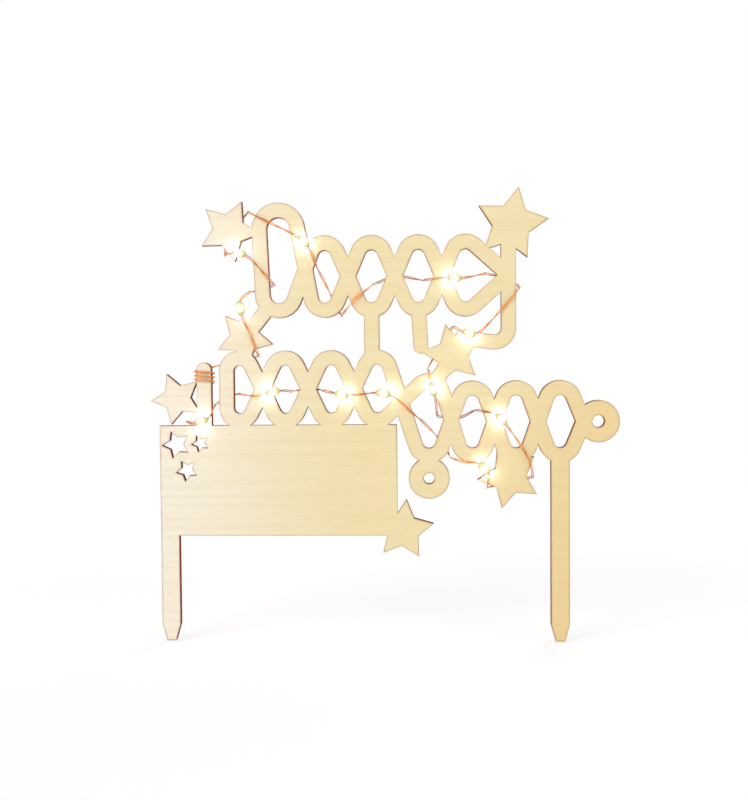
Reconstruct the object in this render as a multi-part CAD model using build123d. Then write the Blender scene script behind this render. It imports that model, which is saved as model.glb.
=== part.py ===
from build123d import *
import math
import os

# Light-up cake topper: a laser-cut plywood sign on two spikes, with a string of small lamps
# woven through it and a coin-cell box behind its plaque.
# Frame: X to the right, Y away from the viewer, Z up, millimetres. The origin lies midway between
# the spikes, at the cake's surface and in the middle of the sheet.

# Plywood sheet
sheet_thickness = 3.0
stroke_width = 5.5
plaque_width = 87.6
plaque_height = 40.8

# Spikes that go into the cake
spike_spacing = 143.6
spike_width = 6.8
spike_length = 39.0
spike_taper_length = 6.0
spike_tip_width = 3.4

# Twisted bands: two strands cross between the columns and leave an eye open at each column. The eye
# radii are those of the eyes' round ends, and a band has as many columns as its margin or gap leaves room for
lower_eye_radius = 2.0
lower_pitch = 16.9
lower_first_offset = 29.8
lower_end_margin = 4.0
lower_row_height = 27.4
row_sink = 1.1
row_gap = 11.8
upper_eye_radius = 2.35
upper_pitch = 17.1
upper_first_offset = 61.55
upper_end_gap = 10.0
upper_row_height = 30.0
tall_eye_radius = 4.2
tall_foot_eye_radius = 3.2
tall_row_height = 42.1
tall_offset = 16.85
right_eye_radius = 2.35
right_pitch = 15.9
right_join_gap = 14.0
right_row_base = 26.6
right_row_height = 30.1
first_right_height = 32.9
end_ring_eye_radius = 2.2
end_ring_offset = 13.8
pendant_eye_radius = 2.0
pendant_overlap = 1.9

# Post that carries the winding
post_offset = 16.7
post_height = 23.2

# Tail that carries the top right star
tail_offset = 20.5
tail_height = 41.0
tail_bend_radius = 5.1
tail_bend_rise = 9.6
tail_foot_offset = 3.7
tail_foot_rise = 6.0
star_stem_overlap = 2.0

# Stars: waist is the inner radius as a share of the outer one, across and rise give the middle's
# place from what carries the star, and tip is the angle of one tip in degrees
star_waist = 0.52
top_left_star = {"radius": 11.5, "across": -18.1, "rise": -0.2, "tip": 65}
top_right_star = {"radius": 13.5, "across": 1.2, "rise": 6.3, "tip": 79}
mid_left_star = {"radius": 10.7, "across": 2.1, "rise": 4.7, "tip": 59}
mid_right_star = {"radius": 11.4, "across": 8.6, "rise": 6.7, "tip": 30}
left_star = {"radius": 9.8, "across": -10.1, "rise": 9.9, "tip": 40.5}
low_right_star = {"radius": 11.7, "across": -18.4, "rise": -5.3, "tip": 40}
corner_star = {"radius": 11.3, "across": 2.2, "rise": 2.0, "tip": 12}
large_hole = {"radius": 5.2, "across": 6.0, "rise": -7.1, "tip": 39}
small_hole = {"radius": 3.25, "across": 14.9, "rise": -6.7, "tip": 42}
lower_hole = {"radius": 4.0, "across": 9.8, "rise": -16.7, "tip": 47}

# String of lamps: the two strands of the wire count as one three-sided section
wire_diameter = 0.9
wire_sides = 3
wire_gap = 0.3
weave_radius = 1.4
turn_radius = 1.2
bend_share = 0.45
winding_turns = 3
winding_pitch = 1.5
winding_top_drop = 3.0
tuck_lean = 1.5
tuck_bend_drop = 3.0
tuck_end_offset = 0.5
tuck_drop = 9.0
drop_radius = 1.6
drop_end_radius = 0.85
drop_length = 4.8
drop_shoulder_length = 2.2
drop_gap = 0.25
drop_sides = 10
bore_sides = 4
resin_clearance = 0.03
chip_length = 1.6
chip_width = 0.8
chip_thickness = 0.5
lamp_run = 6.4
lamp_bend_room = 0.7

# Coin-cell box behind the plaque
box_offset = 51.2
pad_length = 32.0
pad_height = 18.0
pad_thickness = 1.0
case_height = 26.0
case_depth = 10.6
case_wall = 1.2
case_corner = 2.0
cell_diameter = 20.0
cell_thickness = 3.2
cell_button_diameter = 17.0
cell_button_height = 0.3
cell_clearance = 0.25
cell_end_margin = 1.95
partition = 2.2
ledge_width = 0.9
lip_thickness = 0.9
lip_overlap = 0.8
flange_thickness = 0.9
slide_clearance = 0.15
grip_rib_height = 0.4
grip_rib_width = 0.8
grip_rib_pitch = 1.8
grip_rib_count = 4
cover_margin = 2.5
cut_margin = 1.0

# Electrical pieces
leaf_thickness = 0.3
spring_rise = 0.8
hump_offset = 1.5
hump_top_length = 5.0
hump_base_length = 11.0
negative_leaf_width = 6.0
positive_leaf_width = 4.0
positive_leaf_inset = 1.2
board_thickness = 1.0
board_margin = 0.5
board_end_gap = 1.6
resistor_length = 3.2
resistor_width = 1.6
resistor_height = 0.6
switch_length = 8.5
switch_height = 3.5
switch_width = 3.6
switch_wall = 0.6
switch_end_room = 2.825
lever_length = 1.6
lever_height = 1.1
lever_reach = 2.0
slider_length = 3.4
switch_travel = 2.0
fit_clearance = 0.15
wire_hole_diameter = 1.4
wire_entry_drop = 4.3
wire_tail = 5.0
wire_exit_run = 2.5
wire_exit_reach = 7.0
wire_exit_rise = 3.0
glue_diameter = 2.8
glue_sides = 8
glue_length = 1.8

os.makedirs("parts", exist_ok=True)

# Worked-out places
half_sheet = sheet_thickness / 2
half_stroke = stroke_width / 2
right_spike_x = spike_spacing / 2
left_spike_x = -spike_spacing / 2
plaque_left = left_spike_x - spike_width / 2
plaque_right = plaque_left + plaque_width
plaque_top = plaque_height
lower_top = plaque_top + lower_row_height
upper_base = lower_top + row_gap
LEFT_TURN = 1
RIGHT_TURN = -1


def peg(x, z, eye_radius, turn=LEFT_TURN):
    """A round that the middle of a stroke runs about, given by the eye left open inside it."""
    return (x, z, eye_radius + half_stroke, turn)


def column(x, base, top, low_eye, high_eye):
    """Lower and upper peg of one column of a twisted band that reaches from base to top."""
    low = peg(x, base + low_eye + stroke_width, low_eye)
    high = peg(x, top - high_eye - stroke_width, high_eye, RIGHT_TURN)
    return low, high


def strand(columns, first):
    """One strand's stops, to the right: lower and upper pegs by turns, from a lower (0) or upper (1) one."""
    return [pegs[(first + step) % 2] for step, pegs in enumerate(columns)]


def turned_back(stops):
    """The same pegs, passed the other way."""
    return [(x, z, radius, -turn) for x, z, radius, turn in reversed(stops)]


def nearest(stop, place):
    """Point of the stroke about a peg that lies nearest to a place."""
    toward = Vector(place[0] - stop[0], place[1] - stop[1]).normalized()
    return (stop[0] + stop[2] * toward.X, stop[1] + stop[2] * toward.Y)


def tangent_runs(stops):
    """Straight runs that touch each stop in turn; a stop is a point or a peg."""
    rounds = [stop if len(stop) == 4 else (stop[0], stop[1], 0.0, LEFT_TURN) for stop in stops]
    runs = []
    for start, end in zip(rounds, rounds[1:]):
        across = end[0] - start[0]
        rise = end[1] - start[1]
        offset = end[3] * end[2] - start[3] * start[2]
        heading = math.atan2(rise, across) - math.asin(offset / math.hypot(across, rise))
        normal = Vector(-math.sin(heading), math.cos(heading))
        first = Vector(start[0], start[1]) - normal * (start[3] * start[2])
        last = Vector(end[0], end[1]) - normal * (end[3] * end[2])
        runs.append((heading, first, last))
    return rounds, runs


def ribbon(stops, width=stroke_width):
    """Faces of one stroke: straight runs, ring sectors about the pegs and a round at each end."""
    rounds, runs = tangent_runs(stops)
    pieces = []
    for heading, first, last in runs:
        middle = (first + last) * 0.5
        turned = Location((middle.X, middle.Y), math.degrees(heading))
        pieces.append(turned * Rectangle((last - first).length, width))
    for round_stop, before, after in zip(rounds[1:-1], runs, runs[1:]):
        turn = round_stop[3]
        sweep_angle = math.degrees((turn * (after[0] - before[0])) % (2 * math.pi))
        from_angle = math.degrees(before[0]) - turn * 90
        pieces.append(ring_sector(round_stop, from_angle, turn * sweep_angle, width))
    for end in (runs[0][1], runs[-1][2]):
        pieces.append(Pos(end.X, end.Y) * Circle(width / 2))
    return pieces


def ring_sector(round_stop, from_angle, sweep_angle, width):
    """Part of a ring about a peg."""
    center = (round_stop[0], round_stop[1])
    outer = CenterArc(center, round_stop[2] + width / 2, from_angle, sweep_angle)
    inner = CenterArc(center, round_stop[2] - width / 2, from_angle, sweep_angle)
    sides = [Line(outer @ 0, inner @ 0), Line(outer @ 1, inner @ 1)]
    return make_face(Curve() + [outer, inner] + sides)


def star_points(x, z, radius, tip_angle):
    """Tips and waist points of a five-pointed star, one tip at tip_angle degrees."""
    points = []
    for step in range(10):
        reach = radius if step % 2 == 0 else radius * star_waist
        angle = math.radians(tip_angle + 36 * step)
        points.append((x + reach * math.cos(angle), z + reach * math.sin(angle)))
    return points


def set_off(star, x, z):
    """A star's middle, radius and tip angle, from the place of what carries it."""
    return (x + star["across"], z + star["rise"], star["radius"], star["tip"])


def plate(points):
    """Flat face with straight edges."""
    return make_face(Polyline(*points, close=True))


def spike(x, top):
    """Flat spike with a tapered, blunt tip."""
    half = spike_width / 2
    tip = spike_tip_width / 2
    taper = spike_taper_length - spike_length
    left_side = [(x - half, top), (x - half, taper), (x - tip, -spike_length)]
    right_side = [(x + tip, -spike_length), (x + half, taper), (x + half, top)]
    return plate(left_side + right_side)


# Columns of the lower band: some stand on the plaque, and the rest lead to the right spike
lower_first_x = plaque_left + lower_first_offset
lower_room = plaque_right - lower_end_margin - lower_first_x
lower_columns = []
for step in range(int(lower_room / lower_pitch) + 1):
    x = lower_first_x + lower_pitch * step
    lower_columns.append(column(x, plaque_top - row_sink, lower_top, lower_eye_radius, lower_eye_radius))
right_room = right_spike_x - right_join_gap - lower_columns[-1][0][0]
right_column_count = int(right_room / right_pitch) + 1
right_columns = []
for step in range(right_column_count):
    x = right_spike_x - right_pitch * (right_column_count - 1 - step)
    top = right_row_base + (first_right_height if step == 0 else right_row_height)
    right_columns.append(column(x, right_row_base, top, right_eye_radius, right_eye_radius))

# Lower band: closed at its left side, and round a ring beyond the right spike
band_columns = lower_columns + right_columns
first_low, first_high = band_columns[0]
left_side = (first_low[0] - first_low[2], (first_low[1] + first_high[1]) / 2)
end_ring = peg(right_spike_x + end_ring_offset, right_row_base + right_row_height / 2, end_ring_eye_radius)
lower_band = [left_side] + strand(band_columns, 0) + [end_ring]
lower_band += turned_back(strand(band_columns, 1)) + [left_side]

# Ring that hangs from the first column beside the plaque
pendant_x = right_columns[0][0][0]
pendant_z = right_row_base + pendant_overlap - stroke_width - pendant_eye_radius

# Stars that join the rows
left_joint = set_off(mid_left_star, lower_first_x, lower_top)
right_joint = set_off(mid_right_star, pendant_x, right_row_base + first_right_height)
right_joint_x, right_joint_z = right_joint[:2]
right_joint_left_tip = star_points(*right_joint)[4]

# Tail between the mid right and the top right star
tail_x = right_joint_x + tail_offset
tail_top_z = right_joint_z + tail_height
tail = [
    (tail_x, tail_top_z),
    (tail_x - tail_bend_radius, right_joint_z + tail_bend_rise, tail_bend_radius, RIGHT_TURN),
    (right_joint_x + tail_foot_offset, right_joint_z + tail_foot_rise),
]

# Upper band, from a tall column at the left to the tail
upper_first_x = plaque_left + upper_first_offset
tall_x = upper_first_x - tall_offset
tall_top = upper_base + tall_row_height
upper_columns = [column(tall_x, upper_base, tall_top, tall_foot_eye_radius, tall_eye_radius)]
upper_room = tail_x - upper_end_gap - upper_first_x
for step in range(int(upper_room / upper_pitch) + 1):
    x = upper_first_x + upper_pitch * step
    top = upper_base + upper_row_height
    upper_columns.append(column(x, upper_base, top, upper_eye_radius, upper_eye_radius))
tall_low, tall_high = upper_columns[0]
upper_end = (tail_x, upper_base + upper_row_height / 2)
upper_band = [upper_end] + turned_back(strand(upper_columns, 1)) + strand(upper_columns, 0) + [upper_end]

# Stems between the bands, ties of the two stars that join them, and the post on the plaque
stem_top = upper_base + half_stroke
middle_stem_x = upper_columns[-3][0][0]
middle_stem = [(middle_stem_x, stem_top), (middle_stem_x, lower_top - half_stroke)]
star_stem_x = upper_columns[-2][0][0]
star_stem_foot = (right_joint_left_tip[0], right_joint_left_tip[1] + star_stem_overlap)
star_stem = [(star_stem_x, stem_top), star_stem_foot]
left_tie = [left_joint[:2], nearest(tall_low, left_joint)]
right_tie = [right_joint[:2], nearest(right_columns[0][1], right_joint)]
post_x = plaque_left + post_offset
post_top = plaque_top + post_height
post = [(post_x, post_top - half_stroke), (post_x, plaque_top - half_stroke)]

stars = [
    left_joint,
    right_joint,
    set_off(top_left_star, tall_x, tall_high[1]),
    set_off(top_right_star, tail_x, tail_top_z),
    set_off(left_star, post_x, plaque_top),
    set_off(low_right_star, right_spike_x, right_row_base),
    set_off(corner_star, plaque_right, 0),
]
star_holes = [set_off(hole, plaque_left, plaque_top) for hole in (large_hole, small_hole, lower_hole)]


def make_sign():
    """The whole sheet: plaque, spikes, twisted bands and stars, cut from one board."""
    foot = [(plaque_left, 0), (plaque_right, 0)]
    plaque = plate(foot + [(plaque_right, plaque_top), (plaque_left, plaque_top)])
    right_stem_top = right_row_base + half_stroke
    pieces = [plaque, spike(left_spike_x, plaque_top / 2), spike(right_spike_x, right_stem_top)]
    for stops in (lower_band, upper_band, tail, middle_stem, star_stem, left_tie, right_tie, post):
        pieces += ribbon(stops)
    pendant = Circle(pendant_eye_radius + stroke_width) - Circle(pendant_eye_radius)
    pieces.append(Pos(pendant_x, pendant_z) * pendant)
    pieces += [plate(star_points(*values)) for values in stars]
    outline = Sketch() + pieces
    outline -= [plate(star_points(*values)) for values in star_holes]
    return extrude(Plane.XZ * outline, half_sheet, both=True)


# Wire: front and back are runs along the faces, through goes to the other face at that point,
# and lamp is a straight run that carries a resin drop, with its heading in degrees
lane_y = half_sheet + wire_gap + wire_diameter / 2
lamp_y = half_sheet + drop_gap + drop_radius
route = [
    ("back", -57.5, 37.5), ("through", -65.3, 42.9), ("lamp", -59.2, 42.5, 15), ("through", -54.3, 48.7),
    ("back", -50.0, 51.5), ("through", -45.0, 52.4), ("front", -39.0, 51.4), ("lamp", -32.8, 53.2, 10),
    ("through", -25.6, 53.2), ("back", -20.0, 54.2), ("through", -14.4, 53.6), ("lamp", -7.6, 52.0, -12),
    ("lamp", 7.6, 52.4, -8), ("front", 14.6, 48.4), ("through", 21.4, 42.6), ("back", 27.2, 36.6),
    ("through", 32.1, 29.0), ("front", 36.8, 26.8), ("lamp", 44.1, 24.8, -50), ("through", 44.0, 15.2),
    ("back", 53.5, 17.8), ("through", 63.3, 21.4), ("front", 60.8, 28.0), ("lamp", 50.3, 42.7, 135),
    ("through", 41.4, 46.0), ("back", 35.4, 42.0), ("through", 26.8, 43.6), ("lamp", 25.7, 53.7, 108),
    ("through", 23.9, 61.8), ("back", 27.6, 69.4), ("through", 33.8, 77.2), ("lamp", 38.8, 73.9, -14),
    ("front", 46.1, 77.6), ("through", 57.5, 89.8), ("back", 51.8, 94.4), ("through", 45.0, 95.2),
    ("lamp", 33.6, 93.9, 176), ("through", 20.9, 93.6), ("back", 12.0, 95.6), ("through", 3.6, 92.6),
    ("front", -2.2, 87.5), ("through", -7.4, 80.0), ("back", -11.6, 88.6), ("through", -15.2, 97.0),
    ("lamp", -21.0, 107.6, 136), ("front", -31.2, 113.6), ("through", -41.0, 119.1), ("back", -47.6, 113.4),
    ("back", -50.8, 108.2), ("through", -51.4, 102.4), ("lamp", -44.7, 103.6, -8), ("front", -37.2, 98.0),
    ("through", -31.2, 92.4), ("back", -36.5, 91.0), ("through", -42.6, 89.6), ("lamp", -44.4, 83.7, -80),
    ("front", -41.2, 74.7), ("through", -38.0, 66.5), ("back", -45.0, 64.5), ("back", -51.0, 63.4),
]

# Coin-cell box: places worked out from the sheet's back face outwards
box_x = plaque_left + box_offset
box_z = plaque_height / 2
pad_y = half_sheet
case_y = pad_y + pad_thickness
floor_y = case_y + case_wall
case_back_y = case_y + case_depth
lip_y = case_back_y - lip_thickness
flange_y = lip_y - slide_clearance - flange_thickness
ledge_y = flange_y - slide_clearance
bore_radius = cell_diameter / 2 + cell_clearance
room_length = switch_length + 2 * switch_end_room
case_length = case_wall + room_length + partition + 2 * bore_radius + cell_end_margin
case_left = box_x - case_length / 2
case_right = box_x + case_length / 2
inner_left = case_left + case_wall
groove_half = case_height / 2 - case_wall
room_half = groove_half - ledge_width
room_right = inner_left + room_length
cell_x = room_right + partition + bore_radius
board_y = floor_y + board_thickness
wire_entry_y = board_y + wire_diameter / 2 + resin_clearance
wire_entry_z = box_z + room_half - wire_entry_drop
switch_x = (inner_left + room_right) / 2
switch_z = box_z - room_half + fit_clearance
lever_y = board_y + switch_height / 2
cell_y = floor_y + spring_rise


def block(x_range, y_range, z_range):
    """Box between two limits on each axis."""
    size = [high - low for low, high in (x_range, y_range, z_range)]
    middle = [(low + high) / 2 for low, high in (x_range, y_range, z_range)]
    return Pos(*middle) * Box(*size)


def around(middle, length):
    """Limits of a length that is centred on a place."""
    return (middle - length / 2, middle + length / 2)


def cylinder_along_y(x, z, radius, y_range):
    """Round bar that runs away from the viewer."""
    middle = (y_range[0] + y_range[1]) / 2
    return Pos(x, middle, z) * Rot(90, 0, 0) * Cylinder(radius, y_range[1] - y_range[0])


def make_case():
    """Tray with a round cell pocket, a room for the switch and board, and rails for the cover."""
    body = block((case_left, case_right), (case_y, case_back_y), around(box_z, case_height))
    body = fillet(body.edges().filter_by(Axis.Y), case_corner)
    past_end = case_right + cut_margin
    body -= block((inner_left, past_end), (ledge_y, lip_y), around(box_z, 2 * groove_half))
    lip_half = groove_half - lip_overlap
    body -= block((inner_left, past_end), (lip_y, case_back_y + cut_margin), around(box_z, 2 * lip_half))
    body -= block((inner_left, room_right), (floor_y, ledge_y), around(box_z, 2 * room_half))
    body -= cylinder_along_y(cell_x, box_z, bore_radius, (floor_y, ledge_y))
    through_partition = (room_right - cut_margin, cell_x)
    body -= block(through_partition, (floor_y, floor_y + 2 * leaf_thickness),
                  around(box_z, negative_leaf_width + 2 * fit_clearance))
    body -= block(through_partition, (cell_y + cell_thickness + leaf_thickness, ledge_y),
                  around(box_z + room_half / 2, positive_leaf_width + 2 * fit_clearance))
    slot_length = lever_length + switch_travel + 2 * fit_clearance
    body -= block(around(switch_x, slot_length), around(lever_y, lever_height + 2 * fit_clearance),
                  (box_z - case_height, switch_z))
    entry = Pos(case_left, wire_entry_y, wire_entry_z) * Rot(0, 90, 0)
    body -= entry * Cylinder(wire_hole_diameter / 2, 4 * case_wall)
    return body


def make_cover():
    """Sliding cover: a flange under the rails, a deck level with them and ribs for the thumb."""
    start = inner_left + slide_clearance
    flange = block((start, case_right), (flange_y, flange_y + flange_thickness),
                   around(box_z, 2 * (groove_half - slide_clearance)))
    deck_half = groove_half - lip_overlap - slide_clearance
    cover = flange + block((start, case_right), (flange_y, case_back_y), around(box_z, 2 * deck_half))
    for step in range(grip_rib_count):
        rib_x = case_right - cover_margin - grip_rib_pitch * step
        cover += block(around(rib_x, grip_rib_width), (flange_y, case_back_y + grip_rib_height),
                       around(box_z, deck_half))
    return cover


def make_cell(step):
    """Coin cell: a can with a rounded rim and the smaller button of its other pole."""
    low = cell_y + cell_thickness * step
    can_low = low + cell_button_height
    can = cylinder_along_y(cell_x, box_z, cell_diameter / 2, (can_low, low + cell_thickness))
    can = chamfer(can.edges().filter_by(GeomType.CIRCLE).sort_by(Axis.Y)[0], cell_button_height)
    button = cylinder_along_y(cell_x, box_z, cell_button_diameter / 2, (low, can_low + cell_button_height))
    return can + button


def strip(points, width, z):
    """Bent strip: an outline in X and Y, as wide as width in Z."""
    outline = make_face(Polyline(*points, close=True))
    return Pos(0, 0, z - width / 2) * extrude(outline, width)


def make_negative_leaf():
    """Spring leaf on the pocket's floor, humped up to the lower cell, with a tab to the board."""
    tab_x = room_right - board_end_gap / 2
    base_start, base_end = around(cell_x - hump_offset, hump_base_length)
    top_start, top_end = around(cell_x - hump_offset, hump_top_length)
    top = cell_y
    low = floor_y
    upper = [(base_start, low + leaf_thickness), (top_start, top),
             (top_end, top), (base_end, low + leaf_thickness)]
    lower = [(base_end - leaf_thickness, low), (top_end - leaf_thickness / 2, top - leaf_thickness),
             (top_start + leaf_thickness / 2, top - leaf_thickness), (base_start + leaf_thickness, low)]
    tab = [(tab_x, low), (tab_x, board_y), (tab_x + leaf_thickness, board_y),
           (tab_x + leaf_thickness, low + leaf_thickness)]
    return strip(lower + tab + upper, negative_leaf_width, box_z)


def make_positive_leaf():
    """Angled leaf from the board, through the partition, to the rim of the upper cell."""
    leaf_z = box_z + room_half / 2
    chord = math.sqrt((cell_diameter / 2) ** 2 - (room_half / 2 - positive_leaf_width / 2) ** 2)
    touch_x = cell_x - chord - resin_clearance
    foot_x = room_right - board_end_gap - positive_leaf_inset
    arm_y = cell_y + cell_thickness + 2 * leaf_thickness
    end_y = cell_y + 2 * cell_thickness - 2 * leaf_thickness
    outline = [
        (foot_x, board_y), (foot_x, arm_y + leaf_thickness),
        (touch_x - leaf_thickness, arm_y + leaf_thickness), (touch_x - leaf_thickness, end_y),
        (touch_x, end_y), (touch_x, arm_y),
        (foot_x + leaf_thickness, arm_y), (foot_x + leaf_thickness, board_y),
    ]
    return strip(outline, positive_leaf_width, leaf_z)


def make_switch_housing():
    """Hollow switch body on the board, slotted towards the case wall."""
    shell = block(around(switch_x, switch_length), (board_y, board_y + switch_height),
                  (switch_z, switch_z + switch_width))
    shell -= block(around(switch_x, switch_length - 2 * switch_wall),
                   around(lever_y, switch_height - 2 * switch_wall),
                   (switch_z + switch_wall, switch_z + switch_width - switch_wall))
    slot = lever_length + switch_travel + 2 * fit_clearance
    shell -= block(around(switch_x, slot), around(lever_y, lever_height + 2 * fit_clearance),
                   (switch_z - cut_margin, switch_z + 2 * switch_wall))
    return shell


def make_switch_lever():
    """Slider inside the housing with a nub that reaches out below the case, at its left stop."""
    rest_x = switch_x - switch_travel / 2
    slider_low = switch_z + switch_wall + fit_clearance
    slider_high = switch_z + switch_width - switch_wall - fit_clearance
    slider_height = switch_height - 2 * switch_wall - 2 * fit_clearance
    lever = block(around(rest_x, slider_length), around(lever_y, slider_height), (slider_low, slider_high))
    nub_low = box_z - case_height / 2 - lever_reach
    return lever + block(around(rest_x, lever_length), around(lever_y, lever_height), (nub_low, slider_high))


def wire_points():
    """Corners of the wire's route and, for each inner corner, the largest bend that it may have."""
    points = [
        Vector(inner_left + wire_tail, wire_entry_y, wire_entry_z),
        Vector(case_left - wire_exit_run, wire_entry_y, wire_entry_z),
        Vector(case_left - wire_exit_reach, (wire_entry_y + lane_y) / 2, wire_entry_z + wire_exit_rise),
    ]
    limits = [None, None, None]
    lamps = []
    side = 1
    for stop in route:
        kind, x, z = stop[:3]
        if kind == "through":
            points += [Vector(x, side * lane_y, z), Vector(x, -side * lane_y, z)]
            limits += [weave_radius, weave_radius]
            side = -side
        elif kind == "lamp":
            heading = math.radians(stop[3])
            along = Vector(math.cos(heading), 0, math.sin(heading))
            middle = Vector(x, -lamp_y, z)
            points += [middle - along * (lamp_run / 2), middle + along * (lamp_run / 2)]
            limits += ["lamp", "lamp"]
            lamps.append((middle, along))
        else:
            points.append(Vector(x, side * lane_y, z))
            limits.append(None)
    half_turn_x = half_stroke + wire_gap + wire_diameter / 2
    corners = [(-1, 1), (-1, -1), (1, -1), (1, 1)]
    winding_top = post_top - winding_top_drop
    for quarter in range(4 * winding_turns):
        side_x, side_y = corners[quarter % 4]
        drop = winding_pitch * quarter / 4
        points.append(Vector(post_x + side_x * half_turn_x, side_y * lane_y, winding_top - drop))
        limits.append(turn_radius)
    tuck_z = winding_top - winding_pitch * winding_turns
    points.append(Vector(post_x - tuck_lean, lane_y, tuck_z - tuck_bend_drop))
    points.append(Vector(post_x + tuck_end_offset, lane_y, tuck_z - tuck_drop))
    limits += [None, None]
    return points, limits, lamps


def bend_radii(points, limits):
    """A bend for each inner corner: as large as its runs allow, within its limit."""
    radii = []
    for before, corner, after, limit in zip(points, points[1:], points[2:], limits[1:]):
        half_turn = math.radians((corner - before).get_angle(after - corner)) / 2
        shorter = min((corner - before).length, (after - corner).length)
        radius = bend_share * shorter / math.tan(half_turn)
        if limit == "lamp":
            radius = min(radius, lamp_bend_room / math.tan(half_turn))
        elif limit:
            radius = min(radius, limit)
        radii.append(radius)
    return radii


def make_wire(points, radii):
    """One unbroken tube along straight runs and tangent arcs."""
    path = FilletPolyline(*points, radius=radii)
    section = Plane(points[0], z_dir=points[1] - points[0]) * RegularPolygon(wire_diameter / 2, wire_sides)
    tube = sweep(section, path)
    drawn = section.area * path.length
    print("wire length", round(path.length, 1), "volume ratio", round(tube.volume / drawn, 4))
    print("least bend radius", round(min(radii), 2), "self gap", round(self_gap(path), 2))
    return tube


def self_gap(path, step=0.5, apart=5.0):
    """Least gap between stretches of the tube that lie further than apart along it."""
    count = int(path.length / step)
    places = [path @ (index / count) for index in range(count + 1)]
    skip = int(apart / step)
    least = path.length
    for index, place in enumerate(places):
        for other in places[index + skip:]:
            least = min(least, (other - place).length)
    return least - wire_diameter


def make_lamp(middle, along):
    """Resin drop about the wire and the lamp chip inside it, on the side that faces the viewer."""
    frame = Plane(middle, x_dir=(0, -1, 0), z_dir=along)
    outline = RegularPolygon(drop_radius, drop_sides)
    end_length = (drop_length - drop_shoulder_length) / 2
    end_inset = (drop_radius - drop_end_radius) * math.cos(math.pi / drop_sides)
    end_taper = math.degrees(math.atan2(end_inset, end_length))
    drop = extrude(outline, drop_shoulder_length / 2, both=True)
    end = Pos(0, 0, drop_shoulder_length / 2) * extrude(outline, end_length, taper=end_taper)
    drop += [end, mirror(end, about=Plane.XY)]
    bore_flat = wire_diameter / 2 + resin_clearance
    bore = RegularPolygon(bore_flat, bore_sides, major_radius=False)
    drop -= extrude(bore, drop_length, both=True)
    chip_x = bore_flat + chip_thickness / 2
    gap = 2 * resin_clearance
    drop -= Pos(chip_x, 0, 0) * Box(chip_thickness + gap, chip_width + gap, chip_length + gap)
    chip = Pos(chip_x, 0, 0) * Box(chip_thickness, chip_width, chip_length)
    return frame * drop, frame * chip


def save(name, shape):
    """Write one piece of the topper."""
    shape.label = name
    export_step(shape, f"parts/{name}.step")


save("plywood_sign", make_sign())
corners, limits, lamps = wire_points()
save("copper_wire", make_wire(corners, bend_radii(corners, limits)))
for number, (middle, along) in enumerate(lamps, 1):
    drop, chip = make_lamp(middle, along)
    save(f"led_drop_{number:02d}", drop)
    save(f"led_chip_{number:02d}", chip)

save("foam_pad", block(around(box_x, pad_length), (pad_y, case_y), around(box_z, pad_height)))
save("battery_case", make_case())
save("battery_cover", make_cover())
save("coin_cell_1", make_cell(0))
save("coin_cell_2", make_cell(1))
save("contact_negative", make_negative_leaf())
save("contact_positive", make_positive_leaf())
board_limits = (inner_left + glue_length + fit_clearance, room_right - board_end_gap)
save("circuit_board", block(board_limits, (floor_y, board_y), around(box_z, 2 * (room_half - board_margin))))
save("resistor", block(around(switch_x, resistor_length), (board_y, board_y + resistor_height),
                       around(box_z, resistor_width)))
save("switch_housing", make_switch_housing())
save("switch_lever", make_switch_lever())
glue_frame = Pos(inner_left + glue_length / 2, wire_entry_y, wire_entry_z) * Rot(0, 90, 0)
glue_section = RegularPolygon(glue_diameter / 2, glue_sides)
glue_section -= RegularPolygon(wire_diameter / 2 + resin_clearance, bore_sides, major_radius=False)
glue = extrude(glue_section, glue_length / 2, both=True)
save("glue_plug", glue_frame * glue)
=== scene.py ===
import math

import bmesh
import bpy
import numpy as np
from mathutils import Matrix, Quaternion, Vector, geometry


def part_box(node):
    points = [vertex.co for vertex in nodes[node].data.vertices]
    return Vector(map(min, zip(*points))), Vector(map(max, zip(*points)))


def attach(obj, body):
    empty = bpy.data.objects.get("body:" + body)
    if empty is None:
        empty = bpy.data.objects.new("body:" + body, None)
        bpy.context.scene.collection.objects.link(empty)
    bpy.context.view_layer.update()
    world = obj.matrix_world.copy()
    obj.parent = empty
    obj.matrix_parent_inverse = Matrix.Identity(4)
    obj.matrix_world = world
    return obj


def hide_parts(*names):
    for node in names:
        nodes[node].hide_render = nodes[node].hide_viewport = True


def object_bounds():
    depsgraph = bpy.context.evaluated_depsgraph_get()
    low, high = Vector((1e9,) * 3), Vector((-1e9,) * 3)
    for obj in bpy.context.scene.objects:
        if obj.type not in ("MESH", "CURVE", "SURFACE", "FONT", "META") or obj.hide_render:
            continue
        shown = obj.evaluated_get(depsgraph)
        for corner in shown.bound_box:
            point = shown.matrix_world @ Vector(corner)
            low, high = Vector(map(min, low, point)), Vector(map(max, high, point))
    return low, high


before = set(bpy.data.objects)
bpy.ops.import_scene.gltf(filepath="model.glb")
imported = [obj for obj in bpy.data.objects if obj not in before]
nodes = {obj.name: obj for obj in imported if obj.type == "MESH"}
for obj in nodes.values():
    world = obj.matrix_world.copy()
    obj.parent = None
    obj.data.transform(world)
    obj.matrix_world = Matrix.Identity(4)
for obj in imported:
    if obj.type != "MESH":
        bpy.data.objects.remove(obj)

# Light-up cake topper: looks of the plywood sign, its string of lamps and the coin-cell box behind it.
# Lengths below are in millimetres in the part's own frame, and MM turns them into metres.
# Angles are in degrees, apart from the camera's roll.
cad_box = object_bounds()
MM = 0.001
weld_distance = 0.001
WHITE = (1.0, 1.0, 1.0, 1.0)

# Camera at the photograph's viewing angle, with its roll in radians
camera_target = (4.1, -1.5, 49.85)
camera_offset = (20.0, -430.0, 18.1)
camera_roll = -0.0079
camera_lens = 53.03
camera_sensor = 36.0
camera_clip_start = 10.0

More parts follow.
